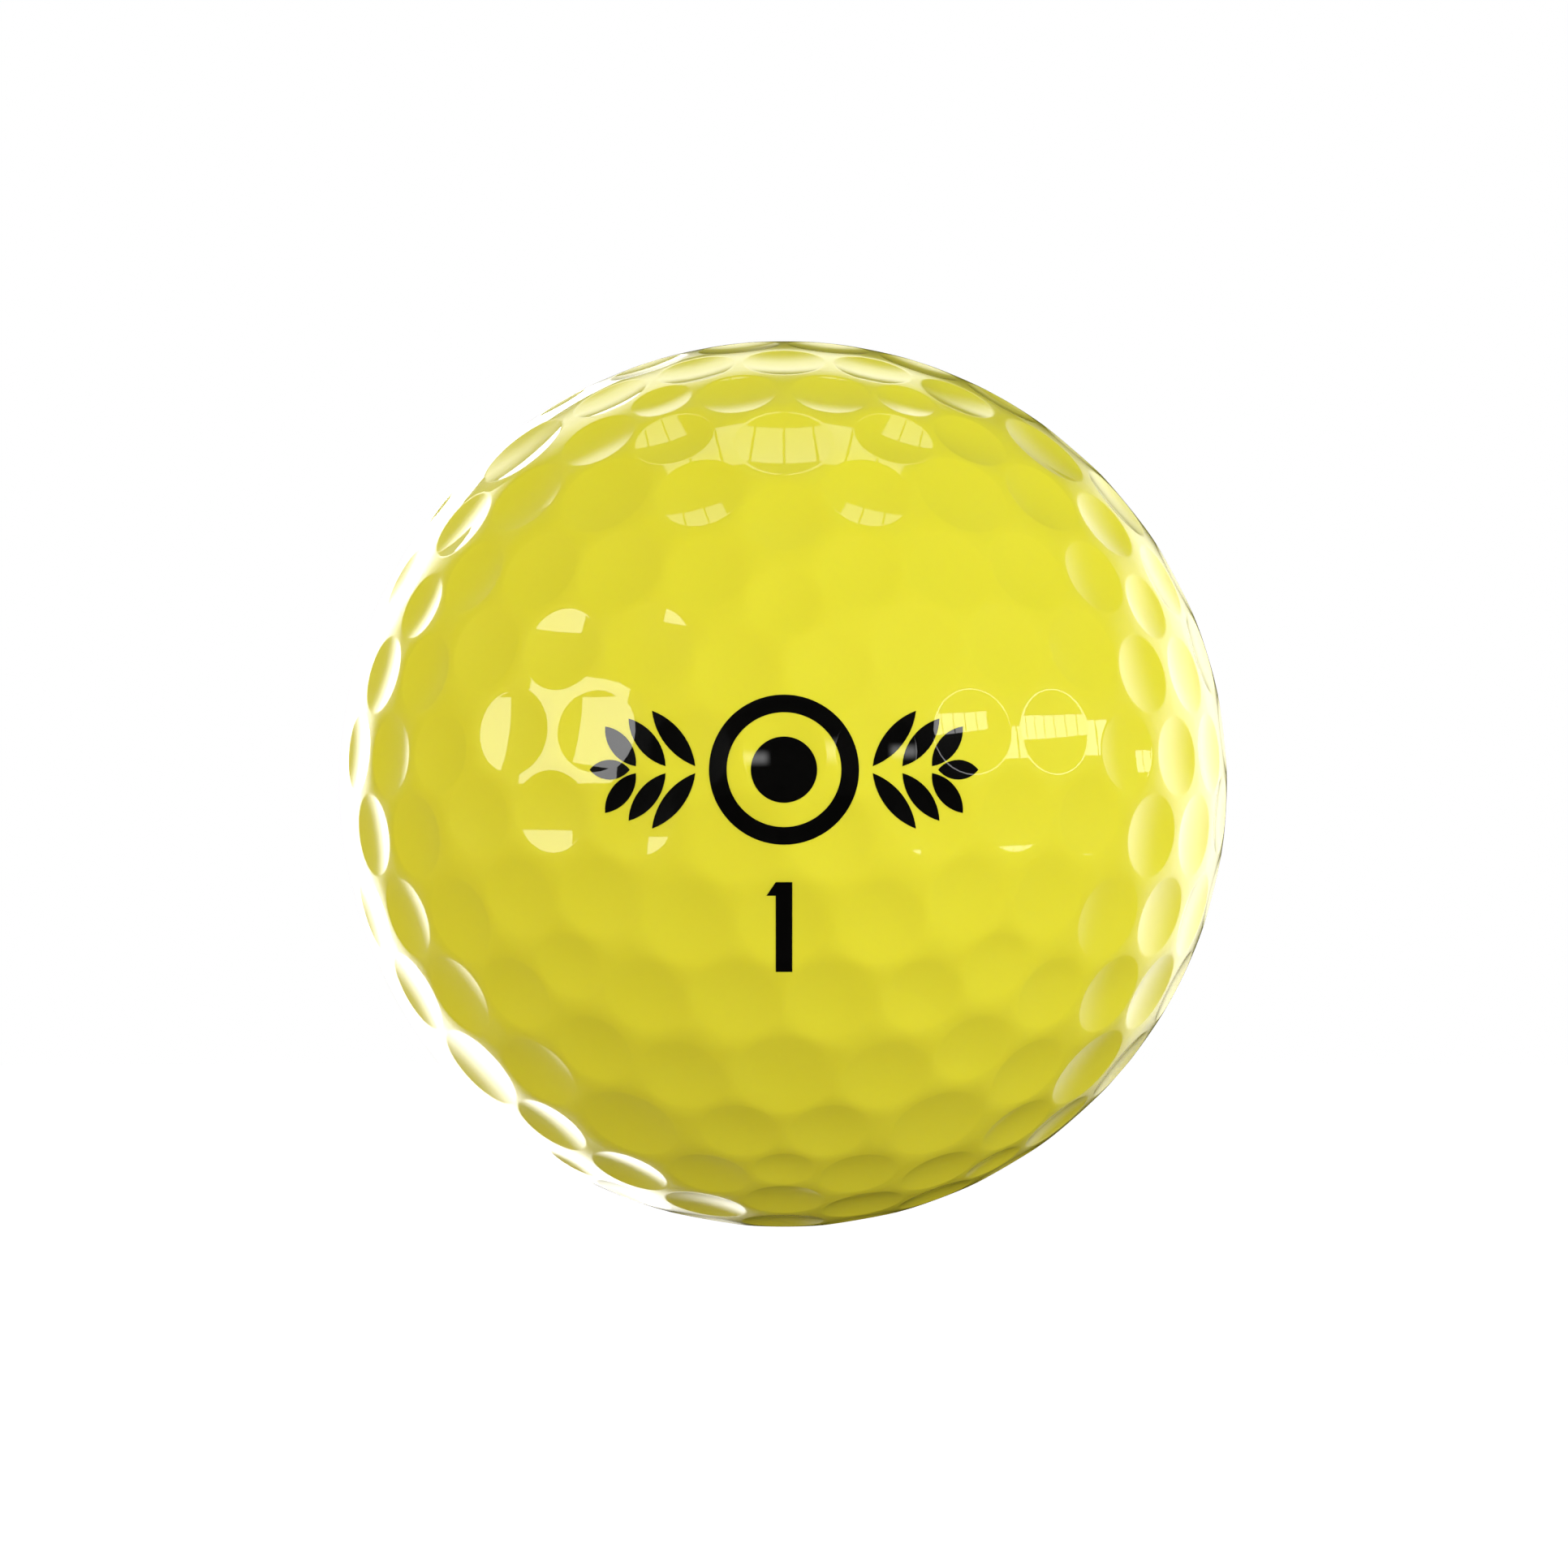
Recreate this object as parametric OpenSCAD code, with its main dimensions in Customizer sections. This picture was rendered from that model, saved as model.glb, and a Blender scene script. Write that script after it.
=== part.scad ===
/* [Ball] */
// Diameter over the lands between the dimples
ball_d = 42.67; // [42.67:0.01:43.2]
// Thickness of the cover under the lands
cover_t = 0.8; // [0.6:0.05:1.2]
// Thickness of the mantle between cover and core
mantle_t = 1.1; // [0.6:0.05:1.8]

/* [Dimples] */
// Depth of a dimple below the plane of its own edge
dimple_depth = 0.15; // [0.1:0.01:0.2]
// Share of the full edge diameter that each dimple gets
dimple_share = 1; // [0.9:0.01:1]

/* [Print] */
// Thickness of the printed ink
ink_t = 0.03; // [0.02:0.01:0.05]
// Height of the mark's centre, from the ball's centre
mark_z = 0.65; // [0:0.05:1]
// Outer diameter of the ring at the middle of the mark
ring_d = 6.8; // [6:0.1:7]
// Height of the play number
number_h = 4.1; // [3:0.1:4.5]
// Height of the play number's centre, from the ball's centre
number_z = -6.5; // [-8:0.1:-6]

/* [Hidden] */
$fn = 200;
ball_r = ball_d / 2;
mantle_r = ball_r - cover_t;
core_r = mantle_r - mantle_t;
half_turn = 180;

// Dimple edge diameters
wide = 4.65;
large = 4.15;
medium = 4;
standard = 3.85;
small = 3.4;
tiny = 3;

// How far a dimple's cutter reaches past the dimple's edge, and past the ball's surface
cutter_margin = 0.02;
cutter_top = 0.5;

// Each family of dimples by its seed: latitude, longitude from the front, edge diameter.
// The pattern has six equal sectors, each with a mirror line at longitude 0 and one at 30.
// The lower half is the upper half turned by half a sector.
sectors = 6;
sector = 360 / sectors;
pole_dimple = medium;
seeds = [
    [3.5, 0, standard],
    [23, 0, small],
    [35, 0, standard],
    [48, 0, wide],
    [69.5, 0, medium],
    [17, 30, medium],
    [39, 30, wide],
    [57.5, 30, tiny],
    [67, 30, standard],
    [78.5, 30, medium],
    [14, 6, standard],
    [4, 11.5, standard],
    [6.5, 24, medium],
    [17, 17.5, large],
    [27, 10.5, standard],
    [27.5, 23.5, large],
    [39, 13.5, large],
    [49, 21.5, standard],
    [59, 11.5, standard]
];

// A seed on a mirror line stands once in each sector, any other seed twice
function sides(longitude) = longitude % (sector / 2) == 0 ? [longitude] : [-longitude, longitude];

dimples = concat(
    [for (pole = [-90, 90]) [pole, 0, pole_dimple]],
    [
        for (seed = seeds, half = [0, 1], turn = [0:sectors - 1], side = sides(seed[1]))
            [(1 - 2 * half) * seed[0], (turn + half / 2) * sector + side, seed[2]]
    ]
);

// Angle from the middle of the front to a dimple's centre
function from_front(dimple) = acos(cos(dimple[0]) * cos(dimple[1]));

// The dimples that a print across the front can lie in
print_reach = 34;
front_dimples = [for (dimple = dimples) if (from_front(dimple) < print_reach) dimple];

// Sizes of the mark
ring_w = 0.8;
dot_d = 3;
leaf_pairs = 3;
leaf_start = 3.9;
leaf_pitch = 1.35;
leaf_slope = 52;
leaf_l = 3.2;
leaf_step = 0.45;
leaf_w = 0.9;
leaf_gap = 0.2;

// Sizes of the play number
stroke = 0.75;
flag_l = 0.42;
flag_h = 0.62;

// Removes one dimple: a shallow spherical bowl, cut off just outside its own edge.
// lift moves the bowl's surface outwards along its normal.
module dimple_cutter(edge_d, lift) {
    edge_r = edge_d * dimple_share / 2;
    edge_z = sqrt(ball_r * ball_r - edge_r * edge_r);
    bowl_r = (edge_r * edge_r + dimple_depth * dimple_depth) / (2 * dimple_depth);
    floor_z = edge_z - dimple_depth;
    cutter_h = ball_r + cutter_top - floor_z;
    intersection() {
        translate([0, 0, floor_z + bowl_r]) sphere(bowl_r - lift);
        translate([0, 0, floor_z]) cylinder(h = cutter_h, r = edge_r + cutter_margin);
    }
}

module dimpled_ball(places, lift) {
    difference() {
        sphere(ball_r + lift);
        for (place = places) {
            rotate([90 - place[0], 0, place[1]]) dimple_cutter(place[2], lift);
        }
    }
}

// Ink lies on the dimpled surface wherever the outline, seen from the front, covers it
module printed_on_front() {
    intersection() {
        rotate([90, 0, 0]) linear_extrude(ball_d) children();
        difference() {
            dimpled_ball(front_dimples, ink_t);
            dimpled_ball(front_dimples, 0);
        }
    }
}

module leaf(length, width) {
    arc_r = (length * length + width * width) / (4 * width);
    intersection() {
        translate([length / 2, arc_r - width / 2]) circle(arc_r);
        translate([length / 2, width / 2 - arc_r]) circle(arc_r);
    }
}

// Three pairs of leaves and a leaf at the tip, all separate islands of ink
module sprig() {
    for (pair = [0:leaf_pairs - 1], slope = [-leaf_slope, leaf_slope]) {
        translate([leaf_start + pair * leaf_pitch, 0])
            rotate(slope)
                translate([leaf_gap, 0]) leaf(leaf_l - pair * leaf_step, leaf_w);
    }
    translate([leaf_start + (leaf_pairs - 1) * leaf_pitch + 2 * leaf_gap, 0])
        leaf(leaf_l - leaf_pairs * leaf_step, leaf_w);
}

module mark_outline() {
    difference() {
        circle(d = ring_d);
        circle(d = ring_d - 2 * ring_w);
    }
    circle(d = dot_d);
    sprig();
    mirror([1, 0]) sprig();
}

module number_outline() {
    polygon([
        [-stroke / 2, -number_h / 2],
        [stroke / 2, -number_h / 2],
        [stroke / 2, number_h / 2],
        [-stroke / 2, number_h / 2],
        [-stroke / 2 - flag_l, number_h / 2 - flag_h],
        [-stroke / 2, number_h / 2 - flag_h]
    ]);
}

module core() {
    color("darkslategray") sphere(core_r);
}

module mantle() {
    color("ivory") difference() {
        sphere(mantle_r);
        sphere(core_r);
    }
}

module cover() {
    color("yellow") difference() {
        dimpled_ball(dimples, 0);
        sphere(mantle_r);
    }
}

module front_mark() {
    color("black") printed_on_front() translate([0, mark_z]) mark_outline();
}

module front_number() {
    color("black") printed_on_front() translate([0, number_z]) number_outline();
}

module rear_mark() {
    rotate(half_turn) front_mark();
}

module rear_number() {
    rotate(half_turn) front_number();
}

core();
mantle();
cover();
front_mark();
front_number();
rear_mark();
rear_number();
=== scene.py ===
import math

import bmesh
import bpy
from mathutils import Matrix, Vector
from mathutils.geometry import delaunay_2d_cdt
from mathutils.kdtree import KDTree


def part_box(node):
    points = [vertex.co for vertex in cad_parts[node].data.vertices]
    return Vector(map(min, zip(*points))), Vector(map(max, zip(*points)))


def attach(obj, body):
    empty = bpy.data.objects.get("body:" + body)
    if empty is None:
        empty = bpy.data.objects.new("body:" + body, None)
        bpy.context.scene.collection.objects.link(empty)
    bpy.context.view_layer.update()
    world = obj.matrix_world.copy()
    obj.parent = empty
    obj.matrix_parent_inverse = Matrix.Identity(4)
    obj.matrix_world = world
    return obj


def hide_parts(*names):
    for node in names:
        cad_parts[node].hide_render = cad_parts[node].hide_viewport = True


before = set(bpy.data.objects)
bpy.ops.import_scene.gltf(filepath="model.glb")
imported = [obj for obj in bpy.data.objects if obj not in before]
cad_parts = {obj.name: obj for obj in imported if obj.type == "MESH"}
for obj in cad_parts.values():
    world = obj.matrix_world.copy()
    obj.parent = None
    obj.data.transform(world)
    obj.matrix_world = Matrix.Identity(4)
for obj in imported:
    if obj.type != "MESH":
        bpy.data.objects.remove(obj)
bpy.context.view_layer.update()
scene = bpy.context.scene
mm = 0.001

# ---------------------------------------------------------------------------------------------
# Camera. It stands level with the middle of the ball and looks straight at the front print
# through a long lens, so the ball's outline shows little perspective.
# ---------------------------------------------------------------------------------------------
ball_r = 42.67 / 2 * mm
camera_distance = 16 * ball_r
outline_share = 0.565
sensor_width = 36

camera = bpy.data.objects.new("camera", bpy.data.cameras.new("camera"))
scene.collection.objects.link(camera)
scene.camera = camera
outline_slope = ball_r / math.sqrt(camera_distance**2 - ball_r**2)
camera.data.sensor_width = sensor_width
camera.data.lens = sensor_width / 2 * outline_share / outline_slope
camera.data.clip_start = ball_r
camera.location = (0, -camera_distance, 0)
camera.rotation_euler = (math.radians(90), 0, 0)

# ---------------------------------------------------------------------------------------------
# Core. A solid ball of dark rubber, compression moulded and then ground to size, with fine
# flecks of filler in it. It is bonded inside the mantle and never seen on a whole ball.
# ---------------------------------------------------------------------------------------------
core_shades = ((0.03, 0.12, 0.16, 1), (0.12, 0.26, 0.3, 1))


def shader_group(name, inputs, outputs):
    """A node group with float or colour inputs, each given as name: default value."""
    group = bpy.data.node_groups.new(name, "ShaderNodeTree")
    kinds = {float: "NodeSocketFloat", tuple: "NodeSocketColor"}
    for label, value in inputs.items():
        socket = group.interface.new_socket(label, in_out="INPUT", socket_type=kinds[type(value)])
        socket.default_value = value
    for label, kind in outputs.items():
        group.interface.new_socket(label, in_out="OUTPUT", socket_type="NodeSocket" + kind)
    start = group.nodes.new("NodeGroupInput")
    end = group.nodes.new("NodeGroupOutput")
    return group, start, end


def noise_at(group, start, detail):
    """Noise on the piece's own coordinates, at the group's Scale, in waves a metre."""
    where = group.nodes.new("ShaderNodeTexCoord")
    noise = group.nodes.new("ShaderNodeTexNoise")
    noise.inputs["Detail"].default_value = detail
    group.links.new(where.outputs["Object"], noise.inputs["Vector"])
    group.links.new(start.outputs["Scale"], noise.inputs["Scale"])
    return noise


def make_colour_drift():
    """Slow and slight change between two shades of one batch of colour."""
    group, start, end = shader_group(
        "colour_drift",
        {"Shade": (0.5, 0.5, 0.5, 1.0), "Other shade": (0.6, 0.6, 0.6, 1.0), "Scale": 200.0},
        {"Color": "Color"},
    )
    noise = noise_at(group, start, 3)
    mix = group.nodes.new("ShaderNodeMix")
    mix.data_type = "RGBA"
    colours = {socket.identifier: socket for socket in (*mix.inputs, *mix.outputs)}
    group.links.new(noise.outputs["Fac"], colours["Factor_Float"])
    group.links.new(start.outputs["Shade"], colours["A_Color"])
    group.links.new(start.outputs["Other shade"], colours["B_Color"])
    group.links.new(colours["Result_Color"], end.inputs["Color"])
    return group


def make_surface_texture():
    """Fine unevenness of a moulded, ground or sprayed surface: height, and patches of gloss."""
    group, start, end = shader_group(
        "surface_texture",
        {"Scale": 1000.0, "Height": 0.00001, "Smooth": 0.1, "Rough": 0.2},
        {"Normal": "Vector", "Roughness": "Float"},
    )
    noise = noise_at(group, start, 2)
    bump = group.nodes.new("ShaderNodeBump")
    group.links.new(noise.outputs["Fac"], bump.inputs["Height"])
    group.links.new(start.outputs["Height"], bump.inputs["Distance"])
    group.links.new(bump.outputs["Normal"], end.inputs["Normal"])
    gloss = group.nodes.new("ShaderNodeMapRange")
    group.links.new(noise.outputs["Fac"], gloss.inputs["Value"])
    group.links.new(start.outputs["Smooth"], gloss.inputs["To Min"])
    group.links.new(start.outputs["Rough"], gloss.inputs["To Max"])
    group.links.new(gloss.outputs["Result"], end.inputs["Roughness"])
    return group


colour_drift = make_colour_drift()
surface_texture = make_surface_texture()


def finish_material(name, shades, drift_size, grain_size, grain_height, gloss, **sockets):
    """A material with drifting colour and a fine surface; the sockets are the shader's own.
    Where it has a coat of lacquer, that is what carries the fine surface."""
    material = bpy.data.materials.new(name)
    material.use_nodes = True
    nodes, links = material.node_tree.nodes, material.node_tree.links
    shader = nodes["Principled BSDF"]
    drift = nodes.new("ShaderNodeGroup")
    drift.node_tree = colour_drift
    drift.inputs["Shade"].default_value = shades[0]
    drift.inputs["Other shade"].default_value = shades[1]
    drift.inputs["Scale"].default_value = 1 / drift_size
    links.new(drift.outputs["Color"], shader.inputs["Base Color"])
    texture = nodes.new("ShaderNodeGroup")
    texture.node_tree = surface_texture
    texture.inputs["Scale"].default_value = 1 / grain_size
    texture.inputs["Height"].default_value = grain_height
    texture.inputs["Smooth"].default_value = gloss[0]
    texture.inputs["Rough"].default_value = gloss[1]
    outermost = "Coat Normal" if "Coat_Weight" in sockets else "Normal"
    links.new(texture.outputs["Normal"], shader.inputs[outermost])
    links.new(texture.outputs["Roughness"], shader.inputs["Roughness"])
    for label, value in sockets.items():
        shader.inputs[label.replace("_", " ")].default_value = value
    return material


def dress(piece, material):
    """Gives the whole piece one material."""
    piece.data.materials.clear()
    piece.data.materials.append(material)


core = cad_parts["core"]
dress(core, finish_material(
    "moulded_rubber", core_shades, 0.4 * mm, 0.15 * mm, 0.01 * mm, (0.5, 0.8),
))

# ---------------------------------------------------------------------------------------------
# Mantle. A thin, firm layer of pale ionomer, injection moulded round the core. It carries the
# cover, and its outer face is as smooth as its mould.
# ---------------------------------------------------------------------------------------------
mantle_shades = ((0.82, 0.8, 0.7, 1), (0.88, 0.86, 0.78, 1))

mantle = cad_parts["mantle"]
mantle_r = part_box("mantle")[1].z
dress(mantle, finish_material(
    "moulded_ionomer", mantle_shades, 6 * mm, 0.3 * mm, 0.002 * mm, (0.3, 0.42),
    Subsurface_Weight=0.1,
))

# ---------------------------------------------------------------------------------------------
# Cover. Yellow urethane, cast round the mantle in a mould that leaves the dimples in it, then
# sprayed with clear lacquer, which rounds the dimples' rims. Each dimple is a shallow bowl.
# ---------------------------------------------------------------------------------------------
dimple_depth = 0.15 * mm
rim_round = 0.7 * mm
rim_inset = 0.05 * mm
wide, large, medium, standard, small, tiny = (d * mm for d in (4.65, 4.15, 4, 3.85, 3.4, 3))
sectors = 6
sector = 360 / sectors
pole_dimple = medium
# Each family of dimples by its seed: latitude, longitude from the front, edge diameter. One at
# longitude 0 or 30 stands on a mirror line. The lower half is the upper, turned half a sector.
seeds = [
    (3.5, 0, standard),
    (23, 0, small),
    (35, 0, standard),
    (48, 0, wide),
    (69.5, 0, medium),
    (17, 30, medium),
    (39, 30, wide),
    (57.5, 30, tiny),
    (67, 30, standard),
    (78.5, 30, medium),
    (14, 6, standard),
    (4, 11.5, standard),
    (6.5, 24, medium),
    (17, 17.5, large),
    (27, 10.5, standard),
    (27.5, 23.5, large),
    (39, 13.5, large),
    (49, 21.5, standard),
    (59, 11.5, standard),
]
steps_round = 32
bowl_rings = 4
round_rings = 3
inner_wall_levels = 5
body_fade = 0.45 * mm
wall_room = 0.1 * mm
weld = 0.001 * mm
cover_shades = ((0.79, 0.733, 0.038, 1), (0.815, 0.758, 0.045, 1))
lacquer = {
    "Specular_IOR_Level": 0.08,
    "Coat_Weight": 1.0,
    "Coat_Roughness": 0.02,
    "Coat_IOR": 1.5,
}


def standing_at(latitude, longitude):
    """The turn that brings the top of the ball to a latitude and longitude."""
    tilt = Matrix.Rotation(math.radians(90 - latitude), 4, "X")
    return Matrix.Rotation(math.radians(longitude), 4, "Z") @ tilt


def dimple_places():
    """(turn, edge diameter) of every dimple, the one at the lower pole first."""
    places = [(standing_at(pole, 0), pole_dimple) for pole in (-90, 90)]
    for latitude, longitude, edge_d in seeds:
        sides = [longitude] if longitude % (sector / 2) == 0 else [-longitude, longitude]
        for turn in range(sectors):
            for side in sides:
                places.append((standing_at(latitude, turn * sector + side), edge_d))
                places.append((standing_at(-latitude, (turn + 0.5) * sector + side), edge_d))
    return places


class Meridian:
    """Half section of one dimple: the bowl's circle, and the small circle that rounds its rim."""

    def __init__(self, edge_d):
        edge_r = edge_d / 2 - rim_inset
        self.bowl_r = (edge_r**2 + dimple_depth**2) / (2 * dimple_depth)
        self.bowl_z = math.sqrt(ball_r**2 - edge_r**2) - dimple_depth + self.bowl_r
        # The rounding touches the ball's sphere from inside and the bowl from outside
        from_ball, from_bowl = ball_r - rim_round, self.bowl_r + rim_round
        self.round_z = (from_ball**2 - from_bowl**2 + self.bowl_z**2) / (2 * self.bowl_z)
        self.round_x = math.sqrt(from_ball**2 - self.round_z**2)
        self.outer_x = self.round_x * ball_r / from_ball
        self.inner_x = self.round_x * self.bowl_r / from_bowl

    def points(self):
        """The section's points, from the middle of the bowl out to the land."""
        made = []
        for ring in range(bowl_rings + 1):
            x = self.inner_x * ring / bowl_rings
            made.append(Vector((x, 0, self.bowl_z - math.sqrt(self.bowl_r**2 - x**2))))
        start = math.atan2(-self.round_x, self.bowl_z - self.round_z)
        end = math.atan2(self.round_x, self.round_z)
        for ring in range(1, round_rings + 1):
            lean = start + (end - start) * ring / round_rings
            x = self.round_x + rim_round * math.sin(lean)
            made.append(Vector((x, 0, self.round_z + rim_round * math.cos(lean))))
        return made

    def normal(self, x, z):
        """Outward direction of the surface, in the section's plane."""
        if x > self.outer_x:
            return Vector((x, z)).normalized()
        if x > self.inner_x:
            return Vector((x - self.round_x, z - self.round_z)).normalized()
        return Vector((-x, self.bowl_z - z)).normalized()


places = dimple_places()
meridians = {edge_d: Meridian(edge_d) for _, edge_d in places}
axes = [turn.to_3x3() @ Vector((0, 0, 1)) for turn, _ in places]
finder = KDTree(len(axes))
for number, axis in enumerate(axes):
    finder.insert(axis, number)
finder.balance()


def skin_normal(point):
    """Outward direction of the cover's skin at a point on it."""
    best = None
    for _, number, distance in finder.find_n(point.normalized(), 3):
        meridian = meridians[places[number][1]]
        room = distance * ball_r - meridian.outer_x
        if best is None or room < best[0]:
            best = (room, number, meridian)
    _, number, meridian = best
    axis = axes[number]
    z = point.dot(axis)
    across = point - z * axis
    if across.length < weld:
        return axis.copy()
    flat = meridian.normal(across.length, z)
    return flat.x * across.normalized() + flat.y * axis


def body_normal(point):
    """Outward direction for the colour under the lacquer. Light spreads in the urethane, so each
    dimple fades in over its rim, and the shares of neighbours balance out on the land."""
    radial = point.normalized()
    lean = radial.copy()
    for _, number, _ in finder.find_n(radial, 4):
        meridian = meridians[places[number][1]]
        axis = axes[number]
        z = point.dot(axis)
        across = point - z * axis
        inside = (meridian.outer_x + body_fade - across.length) / (2 * body_fade)
        share = min(max(inside, 0), 1)
        share = share * share * (3 - 2 * share)
        bowl = (meridian.bowl_z * axis - point).normalized()
        lean += share * (bowl - radial)
    return lean.normalized()


def spin_bowl(edge_d):
    """One dimple at the top of the ball, spun from its section, with its rim's vertices in order."""
    bm = bmesh.new()
    verts = [bm.verts.new(point) for point in meridians[edge_d].points()]
    edges = [bm.edges.new(pair) for pair in zip(verts, verts[1:])]
    bmesh.ops.spin(
        bm, geom=verts + edges, cent=(0, 0, 0), axis=(0, 0, 1),
        angle=math.radians(360), steps=steps_round, use_merge=True,
    )
    bmesh.ops.remove_doubles(bm, verts=bm.verts, dist=weld)
    bm.normal_update()
    if sum(face.normal.z for face in bm.faces) < 0:
        bmesh.ops.reverse_faces(bm, faces=bm.faces)
    bm.verts.index_update()
    rim = [vert for vert in bm.verts if vert.is_boundary]
    rim.sort(key=lambda vert: math.atan2(vert.co.y, vert.co.x))
    order = [vert.index for vert in rim]
    mesh = bpy.data.meshes.new("bowl")
    bm.to_mesh(mesh)
    bm.free()
    return mesh, order


def add_land(bm, rims):
    """Closes the sphere between the dimples. The rims are laid flat by a projection from the
    lower pole, which keeps circles round, so that one flat triangulation serves the whole ball."""
    corners = [vert for rim in rims for vert in rim]
    flat = [Vector((vert.co.x, vert.co.y)) / (ball_r + vert.co.z) for vert in corners]
    loops = [range(n * steps_round, (n + 1) * steps_round) for n in range(1, len(rims))]
    _, _, triangles, sources, _, owners = delaunay_2d_cdt(flat, [], [list(r) for r in loops], 0, 1e-8)
    for triangle, owner in zip(triangles, owners):
        if not owner:
            bm.faces.new([corners[sources[index][0]] for index in triangle])


def new_piece(name, bm):
    """Turns a bmesh into a piece with smooth faces."""
    mesh = bpy.data.meshes.new(name)
    bm.to_mesh(mesh)
    bm.free()
    mesh.shade_smooth()
    piece = bpy.data.objects.new(name, mesh)
    scene.collection.objects.link(piece)
    return piece


def build_cover():
    """Every dimple in its place, the land between them, and the inner wall against the mantle."""
    bowls = {edge_d: spin_bowl(edge_d) for edge_d in meridians}
    bm = bmesh.new()
    rims = []
    for turn, edge_d in places:
        mesh, order = bowls[edge_d]
        first = len(bm.verts)
        bm.from_mesh(mesh)
        bm.verts.ensure_lookup_table()
        bmesh.ops.transform(bm, matrix=turn, verts=bm.verts[first:])
        rims.append([bm.verts[first + index] for index in order])
    add_land(bm, rims)
    for mesh, _ in bowls.values():
        bpy.data.meshes.remove(mesh)
    wall = bmesh.ops.create_icosphere(bm, subdivisions=inner_wall_levels, radius=mantle_r)
    wall_faces = {face for vert in wall["verts"] for face in vert.link_faces}
    bmesh.ops.reverse_faces(bm, faces=list(wall_faces))
    return new_piece("dimpled_cover", bm)


def lean_normals(piece, inner_r):
    """Shades the piece with the skin's own normals, and whatever lies inside inner_r as a ball."""
    normals = []
    for vert in piece.data.vertices:
        inside = vert.co.length < inner_r
        normals.append(-vert.co.normalized() if inside else skin_normal(vert.co))
    piece.data.normals_split_custom_set_from_vertices(normals)


def soften_body(piece, material):
    """Shades the colour under the lacquer with its own softer normals."""
    soft = piece.data.attributes.new("body_normal", "FLOAT_VECTOR", "POINT")
    for vert, value in zip(piece.data.vertices, soft.data):
        value.vector = body_normal(vert.co)
    nodes, links = material.node_tree.nodes, material.node_tree.links
    stored = nodes.new("ShaderNodeAttribute")
    stored.attribute_name = "body_normal"
    placed = nodes.new("ShaderNodeVectorTransform")
    placed.vector_type = "NORMAL"
    placed.convert_from, placed.convert_to = "OBJECT", "WORLD"
    links.new(stored.outputs["Vector"], placed.inputs["Vector"])
    links.new(placed.outputs["Vector"], nodes["Principled BSDF"].inputs["Normal"])


cover = build_cover()
lean_normals(cover, mantle_r + wall_room)
urethane = finish_material(
    "cast_urethane", cover_shades, 5 * mm, 0.5 * mm, 0.0008 * mm, (0.34, 0.42),
    Subsurface_Weight=0.5, Subsurface_Scale=0.3 * mm, Subsurface_Radius=(1.0, 0.85, 0.2), **lacquer,
)
soften_body(cover, urethane)
dress(cover, urethane)
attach(cover, "root")
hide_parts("cover")

# ---------------------------------------------------------------------------------------------
# Prints. Black ink from a soft pad, pressed straight on from the front and from the rear, so
# each print follows the dimples but keeps a true outline. The lacquer runs on over the ink.
# ---------------------------------------------------------------------------------------------
mark_z = 0.65 * mm
ring_d = 6.8 * mm
ring_w = 0.8 * mm
dot_d = 3 * mm
leaf_pairs = 3
leaf_start = 3.9 * mm
leaf_pitch = 1.35 * mm
leaf_slope = math.radians(52)
leaf_l = 3.2 * mm
leaf_step = 0.45 * mm
leaf_w = 0.9 * mm
leaf_gap = 0.2 * mm
number_z = -6.5 * mm
number_h = 4.1 * mm
stroke = 0.75 * mm
flag_l = 0.42 * mm
flag_h = 0.62 * mm
ink_lift = 0.002 * mm
ink_t = 0.012 * mm
circle_steps = 96
leaf_steps = 12
print_margin = 0.6 * mm
film_depth = (0.8 * ball_r, 1.05 * ball_r)
ink_shades = ((0.001, 0.001, 0.001, 1), (0.002, 0.0018, 0.0016, 1))


def fill_ring(bm, outer_d, width, place):
    """A flat ring between two circles."""
    loops = []
    for diameter in (outer_d, outer_d - 2 * width):
        made = bmesh.ops.create_circle(bm, segments=circle_steps, radius=diameter / 2, matrix=place)
        loops += list({edge for vert in made["verts"] for edge in vert.link_edges})
    bmesh.ops.bridge_loops(bm, edges=loops)


def fill_leaf(bm, length, width, place):
    """A pointed leaf between two arcs, from the origin along X, moved into place."""
    arc_r = (length**2 + width**2) / (4 * width)
    sweep = 2 * math.asin(length / (2 * arc_r))
    older = set(bm.verts)
    for tip_x, side in ((0, 1), (length, -1)):
        tip = bm.verts.new((tip_x, 0, 0))
        bmesh.ops.spin(
            bm, geom=[tip], cent=(length / 2, side * (width / 2 - arc_r), 0), axis=(0, 0, 1),
            angle=-sweep, steps=leaf_steps,
        )
    bmesh.ops.remove_doubles(bm, verts=[v for v in bm.verts if v not in older], dist=weld)
    fresh = [vert for vert in bm.verts if vert not in older]
    edges = list({edge for vert in fresh for edge in vert.link_edges})
    bmesh.ops.edgeloop_fill(bm, edges=edges)
    bmesh.ops.transform(bm, matrix=place, verts=fresh)


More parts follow.
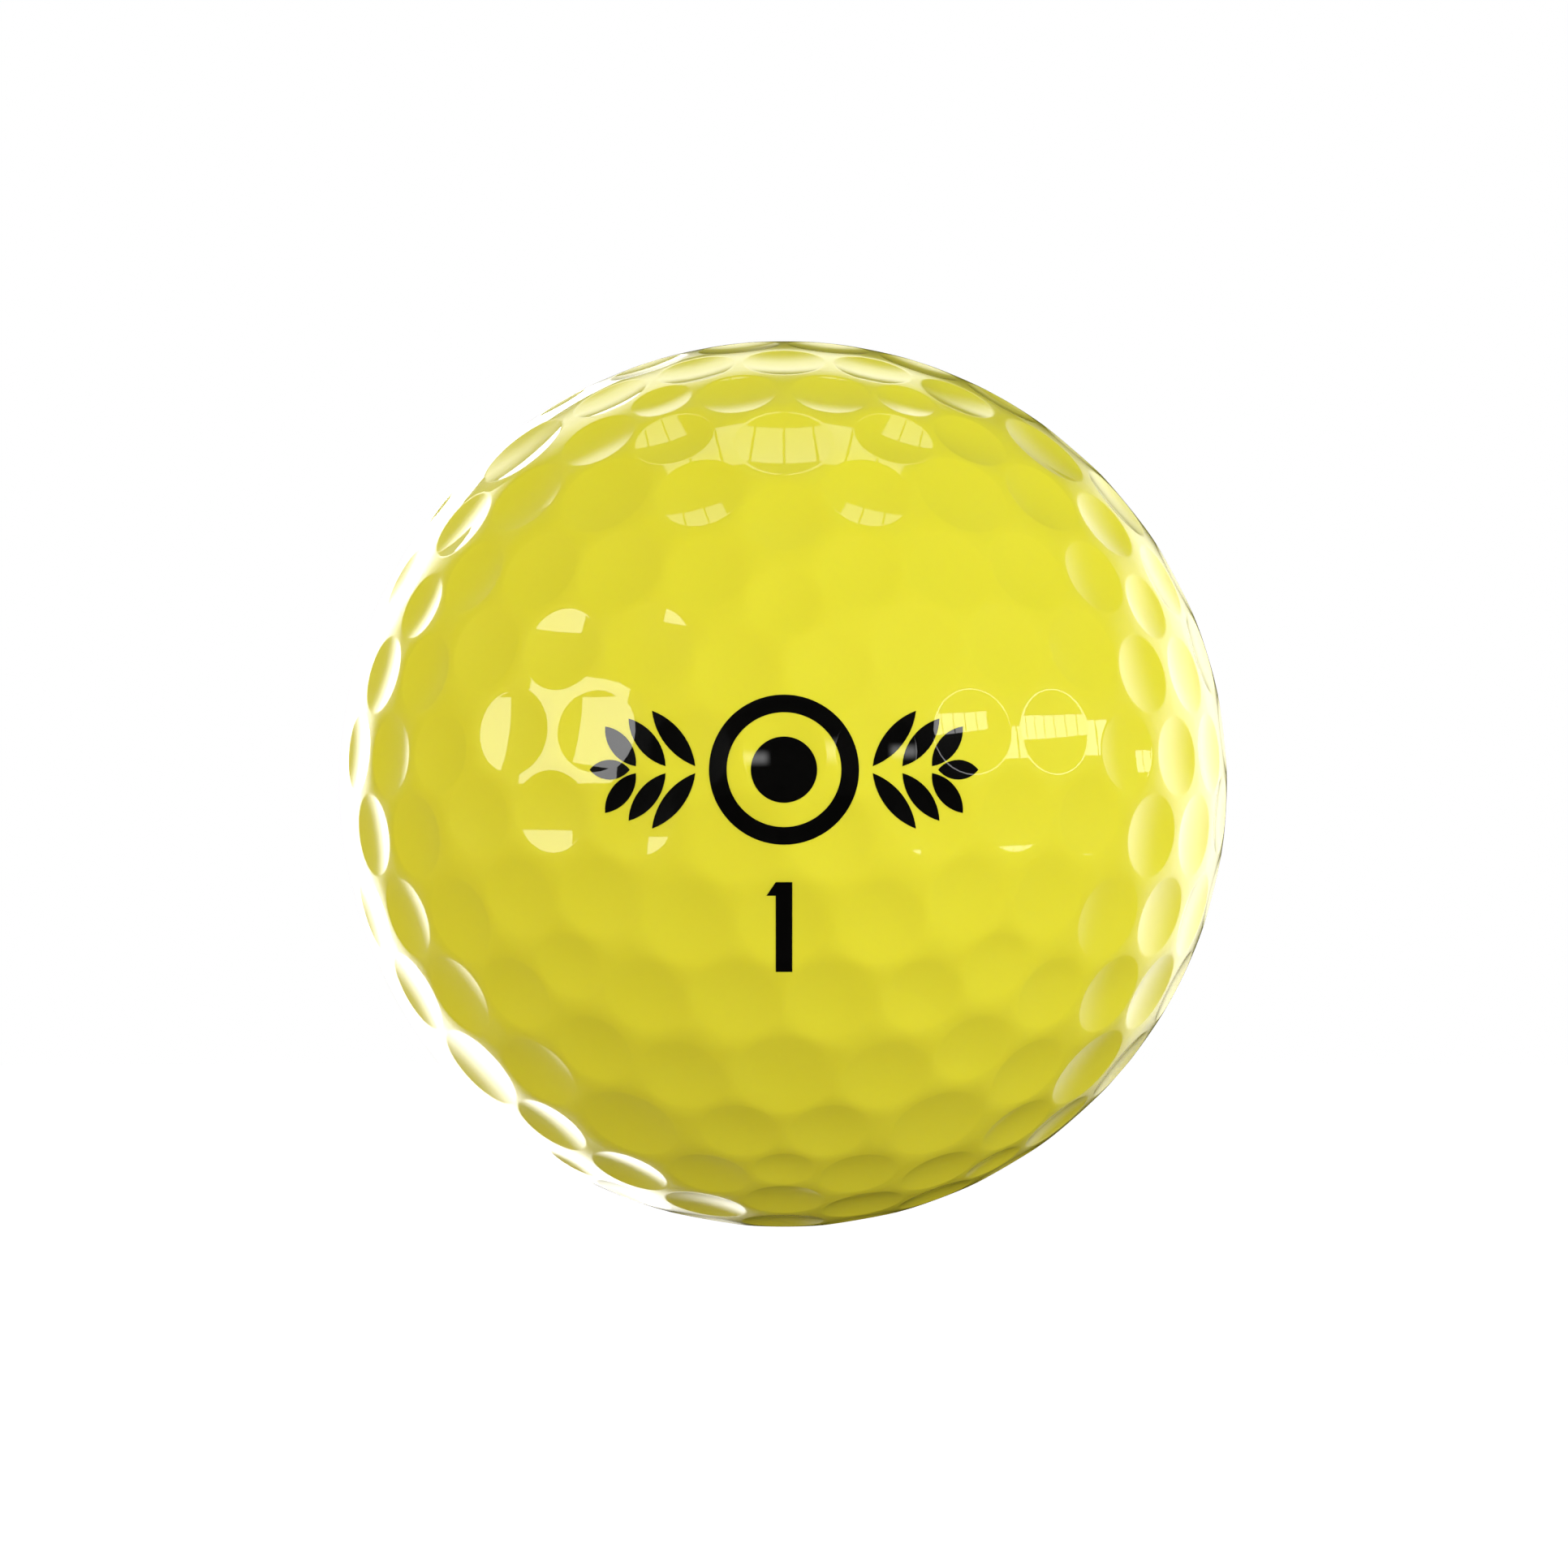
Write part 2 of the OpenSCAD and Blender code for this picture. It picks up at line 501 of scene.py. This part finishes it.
def mark_outline(bm):
    """A ring and a dot between two sprigs, each of three pairs of leaves and a leaf at the tip."""
    middle = Matrix.Translation((0, mark_z, 0))
    fill_ring(bm, ring_d, ring_w, middle)
    bmesh.ops.create_circle(bm, cap_ends=True, segments=circle_steps, radius=dot_d / 2, matrix=middle)
    for heading in (0, math.pi):
        sprig = middle @ Matrix.Rotation(heading, 4, "Z")
        for pair in range(leaf_pairs):
            root = sprig @ Matrix.Translation((leaf_start + pair * leaf_pitch, 0, 0))
            for slope in (-leaf_slope, leaf_slope):
                place = root @ Matrix.Rotation(slope, 4, "Z") @ Matrix.Translation((leaf_gap, 0, 0))
                fill_leaf(bm, leaf_l - pair * leaf_step, leaf_w, place)
        tip_x = leaf_start + (leaf_pairs - 1) * leaf_pitch + 2 * leaf_gap
        tip = sprig @ Matrix.Translation((tip_x, 0, 0))
        fill_leaf(bm, leaf_l - leaf_pairs * leaf_step, leaf_w, tip)


def number_outline(bm):
    """A plain figure one: an upright stroke with a short flag at its top left."""
    right, top = stroke / 2, number_h / 2
    corners = [
        (-right, -top), (right, -top), (right, top), (-right, top),
        (-right - flag_l, top - flag_h), (-right, top - flag_h),
    ]
    bm.faces.new([bm.verts.new((x, number_z + z, 0)) for x, z in corners])


def stamp(outline):
    """The outline as a solid that reaches through the skin at the front of the ball."""
    bm = bmesh.new()
    outline(bm)
    near, far = film_depth
    bmesh.ops.translate(bm, verts=bm.verts, vec=(0, 0, near))
    grown = bmesh.ops.extrude_face_region(bm, geom=bm.faces[:], use_keep_orig=True)
    raised = [item for item in grown["geom"] if isinstance(item, bmesh.types.BMVert)]
    bmesh.ops.translate(bm, verts=raised, vec=(0, 0, far - near))
    bmesh.ops.rotate(bm, verts=bm.verts, cent=(0, 0, 0), matrix=Matrix.Rotation(math.pi / 2, 3, "X"))
    bmesh.ops.recalc_face_normals(bm, faces=bm.faces)
    return new_piece("stamp", bm)


def film_over(low, high):
    """A closed film of ink over the part of the front skin that lies between two corners."""
    bm = bmesh.new()
    bm.from_mesh(cover.data)
    outside = []
    for face in bm.faces:
        spot = face.calc_center_median()
        in_window = low.x < spot.x < high.x and low.z < spot.z < high.z and spot.y < 0
        if not in_window or spot.length < mantle_r + wall_room:
            outside.append(face)
    bmesh.ops.delete(bm, geom=outside, context="FACES")
    for vert in bm.verts:
        vert.co += ink_lift * skin_normal(vert.co)
    grown = bmesh.ops.extrude_face_region(bm, geom=bm.faces[:], use_keep_orig=True)
    for item in grown["geom"]:
        if isinstance(item, bmesh.types.BMVert):
            item.co += ink_t * skin_normal(item.co)
    bmesh.ops.recalc_face_normals(bm, faces=bm.faces)
    return new_piece("film", bm)


def pad_print(name, outline):
    """The part of the film that the stamp covers."""
    cutter = stamp(outline)
    bpy.context.view_layer.update()
    corners = [Vector(corner) for corner in cutter.bound_box]
    margin = Vector((print_margin,) * 3)
    low = Vector(map(min, *corners)) - margin
    high = Vector(map(max, *corners)) + margin
    film = film_over(low, high)
    cut = film.modifiers.new("outline", "BOOLEAN")
    cut.operation = "INTERSECT"
    cut.solver = "EXACT"
    cut.object = cutter
    graph = bpy.context.evaluated_depsgraph_get()
    mesh = bpy.data.meshes.new_from_object(film.evaluated_get(graph))
    for spare in (film, cutter):
        bpy.data.objects.remove(spare)
    mesh.name = name
    piece = bpy.data.objects.new(name, mesh)
    scene.collection.objects.link(piece)
    return piece


def finish_print(piece, node):
    """Ink shaded with the skin it lies on, riding with the ball and standing for its CAD node."""
    piece.data.shade_smooth()
    lean_normals(piece, 0)
    dress(piece, ink)
    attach(piece, "root")
    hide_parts(node)


ink = finish_material(
    "pad_ink", ink_shades, 0.8 * mm, 0.5 * mm, 0.0004 * mm, (0.4, 0.5), **lacquer,
)
for part, outline in (("mark", mark_outline), ("number", number_outline)):
    front = pad_print("front_" + part + "_print", outline)
    rear = front.copy()
    rear.data = front.data.copy()
    rear.name = rear.data.name = "rear_" + part + "_print"
    rear.data.transform(Matrix.Rotation(math.pi, 4, "Z"))
    scene.collection.objects.link(rear)
    finish_print(front, "front_" + part)
    finish_print(rear, "rear_" + part)

# ---------------------------------------------------------------------------------------------
# Stage and light. A pale paper floor a tee's height below the ball, in a white studio. Five
# softboxes light the yellow, and glowing cards all round only show as reflections in the lacquer.
# ---------------------------------------------------------------------------------------------
floor_drop = 3 * ball_r
floor_half = 60 * ball_r
paper_shade = (0.46, 0.42, 0.38, 1)
paper_glow = 1
studio_white = (1, 1, 1, 1)
ambient = 0.1
light_distance = 20 * ball_r


def arithmetic(nodes, links, operation, *values):
    """A Math node that works on sockets or plain numbers, as its output socket."""
    node = nodes.new("ShaderNodeMath")
    node.operation = operation
    for socket, value in zip(node.inputs, values):
        if isinstance(value, bpy.types.NodeSocket):
            links.new(value, socket)
        else:
            socket.default_value = value
    return node.outputs["Value"]


def level_for(nodes, links, camera_level, diffuse_level):
    """A strength that differs between camera rays and diffuse rays, and is 0 for the rest."""
    path = nodes.new("ShaderNodeLightPath")
    seen = arithmetic(nodes, links, "MULTIPLY", path.outputs["Is Camera Ray"], camera_level)
    return arithmetic(nodes, links, "MULTIPLY_ADD", path.outputs["Is Diffuse Ray"], diffuse_level, seen)


def bare_material(name):
    """A material with only an output node, and its nodes and links."""
    material = bpy.data.materials.new(name)
    material.use_nodes = True
    nodes, links = material.node_tree.nodes, material.node_tree.links
    nodes.clear()
    return material, nodes, links, nodes.new("ShaderNodeOutputMaterial")


def make_floor():
    """The paper, which hides nothing from below, so that the ball's underside can be looked at."""
    bm = bmesh.new()
    bmesh.ops.create_circle(
        bm, cap_ends=True, segments=circle_steps, radius=floor_half,
        matrix=Matrix.Translation((0, 0, -floor_drop)),
    )
    floor = new_piece("floor", bm)
    material, nodes, links, output = bare_material("pale_paper")
    paper = nodes.new("ShaderNodeBsdfDiffuse")
    paper.inputs["Color"].default_value = paper_shade
    glow = nodes.new("ShaderNodeEmission")
    links.new(level_for(nodes, links, paper_glow, 0), glow.inputs["Strength"])
    both = nodes.new("ShaderNodeAddShader")
    links.new(paper.outputs["BSDF"], both.inputs[0])
    links.new(glow.outputs["Emission"], both.inputs[1])
    side = nodes.new("ShaderNodeNewGeometry")
    from_below = nodes.new("ShaderNodeMixShader")
    links.new(side.outputs["Backfacing"], from_below.inputs["Fac"])
    links.new(both.outputs["Shader"], from_below.inputs[1])
    links.new(nodes.new("ShaderNodeBsdfTransparent").outputs["BSDF"], from_below.inputs[2])
    links.new(from_below.outputs["Shader"], output.inputs["Surface"])
    dress(floor, material)
    floor.visible_glossy = False
    floor.visible_shadow = False


def make_card_glow():
    """Brightness over a card: 1 inside, fading to 0 at its edges, with dark bars across it."""
    group, start, end = shader_group(
        "card_glow",
        {"Half width": 0.1, "Half height": 0.1, "Fade": 0.01, "Pane": 1.0, "Bar": 0.0},
        {"Value": "Float"},
    )
    nodes, links = group.nodes, group.links
    where = nodes.new("ShaderNodeTexCoord")
    split = nodes.new("ShaderNodeSeparateXYZ")
    links.new(where.outputs["Object"], split.inputs["Vector"])
    half_pane = arithmetic(nodes, links, "MULTIPLY", start.outputs["Pane"], 0.5)
    half_bar = arithmetic(nodes, links, "MULTIPLY", start.outputs["Bar"], 0.5)
    from_bar = arithmetic(nodes, links, "PINGPONG", split.outputs["X"], half_pane)
    value = arithmetic(nodes, links, "GREATER_THAN", from_bar, half_bar)
    for axis, half in (("X", "Half width"), ("Y", "Half height")):
        fade = nodes.new("ShaderNodeMapRange")
        fade.interpolation_type = "SMOOTHSTEP"
        fade.inputs["To Min"].default_value = 1
        fade.inputs["To Max"].default_value = 0
        links.new(arithmetic(nodes, links, "ABSOLUTE", split.outputs[axis]), fade.inputs["Value"])
        inside = arithmetic(nodes, links, "SUBTRACT", start.outputs[half], start.outputs["Fade"])
        links.new(inside, fade.inputs["From Min"])
        links.new(start.outputs[half], fade.inputs["From Max"])
        value = arithmetic(nodes, links, "MULTIPLY", value, fade.outputs["Result"])
    links.new(value, end.inputs["Value"])
    return group


card_glow = make_card_glow()


def face_ball(thing, azimuth, elevation):
    """Stands a light or a card on the studio's dome, facing the ball. Azimuth 0 is the camera's
    side and 90 the ball's right; both are in degrees."""
    turn, lift = math.radians(azimuth), math.radians(elevation)
    away = Vector((math.sin(turn) * math.cos(lift), -math.cos(turn) * math.cos(lift), math.sin(lift)))
    thing.location = light_distance * away
    thing.rotation_euler = (math.radians(90) - lift, 0, turn)


def span(degrees):
    """How wide a card is that covers an angle, as seen from the ball."""
    return 2 * light_distance * math.tan(math.radians(degrees / 2))


def make_card(name, azimuth, elevation, wide_angle, high_angle, radiance, fade, panes=1, bar=0):
    """A card that only glossy surfaces see. Its width, height, fade and bars are in degrees."""
    half_w, half_h = span(wide_angle) / 2, span(high_angle) / 2
    bm = bmesh.new()
    bmesh.ops.create_grid(bm, x_segments=1, y_segments=1, size=1)
    bmesh.ops.scale(bm, verts=bm.verts, vec=(half_w, half_h, 1))
    card = new_piece(name, bm)
    face_ball(card, azimuth, elevation)
    material, nodes, links, output = bare_material(name)
    shape = nodes.new("ShaderNodeGroup")
    shape.node_tree = card_glow
    sizes = {
        "Half width": half_w, "Half height": half_h, "Fade": span(fade),
        "Pane": 2 * half_w / panes, "Bar": span(bar),
    }
    for label, value in sizes.items():
        shape.inputs[label].default_value = value
    glow = nodes.new("ShaderNodeEmission")
    level = arithmetic(nodes, links, "MULTIPLY", shape.outputs["Value"], radiance)
    links.new(level, glow.inputs["Strength"])
    links.new(glow.outputs["Emission"], output.inputs["Surface"])
    dress(card, material)
    card.visible_camera = card.visible_diffuse = card.visible_shadow = False


def make_softbox(name, azimuth, elevation, wide_angle, radiance, tint):
    """A square softbox that lights the colour of the ball and leaves no reflection."""
    data = bpy.data.lights.new(name, "AREA")
    data.shape = "SQUARE"
    data.size = span(wide_angle)
    data.energy = radiance * math.pi * data.size**2
    data.color = tint
    lamp = bpy.data.objects.new(name, data)
    face_ball(lamp, azimuth, elevation)
    lamp.visible_camera = lamp.visible_glossy = False
    scene.collection.objects.link(lamp)


def make_world():
    """The studio's walls: white behind the ball, a faint fill on it, and dark in the lacquer."""
    world = bpy.data.worlds.new("studio")
    scene.world = world
    world.use_nodes = True
    nodes, links = world.node_tree.nodes, world.node_tree.links
    links.new(level_for(nodes, links, 1, ambient), nodes["Background"].inputs["Strength"])
    nodes["Background"].inputs["Color"].default_value = studio_white


make_floor()
make_softbox("key", 39, 8, 75, 2.22, (0.98, 1, 1))
make_softbox("fill_left", -60, 14, 60, 1.5, (1, 0.95, 0.88))
make_softbox("back_left", -120, 10, 60, 0.9, (1, 0.95, 0.88))
make_softbox("back_right", 145, 2, 60, 1.95, (1, 0.9, 0.82))
make_softbox("back_top", 180, 50, 60, 1.3, (1, 1, 1))
make_card("rim_left", -154, -2, 50, 80, 4.6, fade=18)
make_card("rim_top", -172, 40, 50, 30, 1.8, fade=12)
make_card("rim_right", 136, 2, 70, 68, 2.1, fade=30)
make_card("window", -56, 12, 28.5, 24, 5, fade=0.3)
make_card("pane_row", 66.5, 9, 49, 7, 5, fade=0.2, panes=10, bar=0.4)
make_card("overhead", 0, 97, 42, 17, 2, fade=1, panes=8, bar=0.45)
make_card("by_camera", 12, 8, 14, 8, 3.5, fade=4)
make_world()
scene.view_settings.view_transform = "Standard"
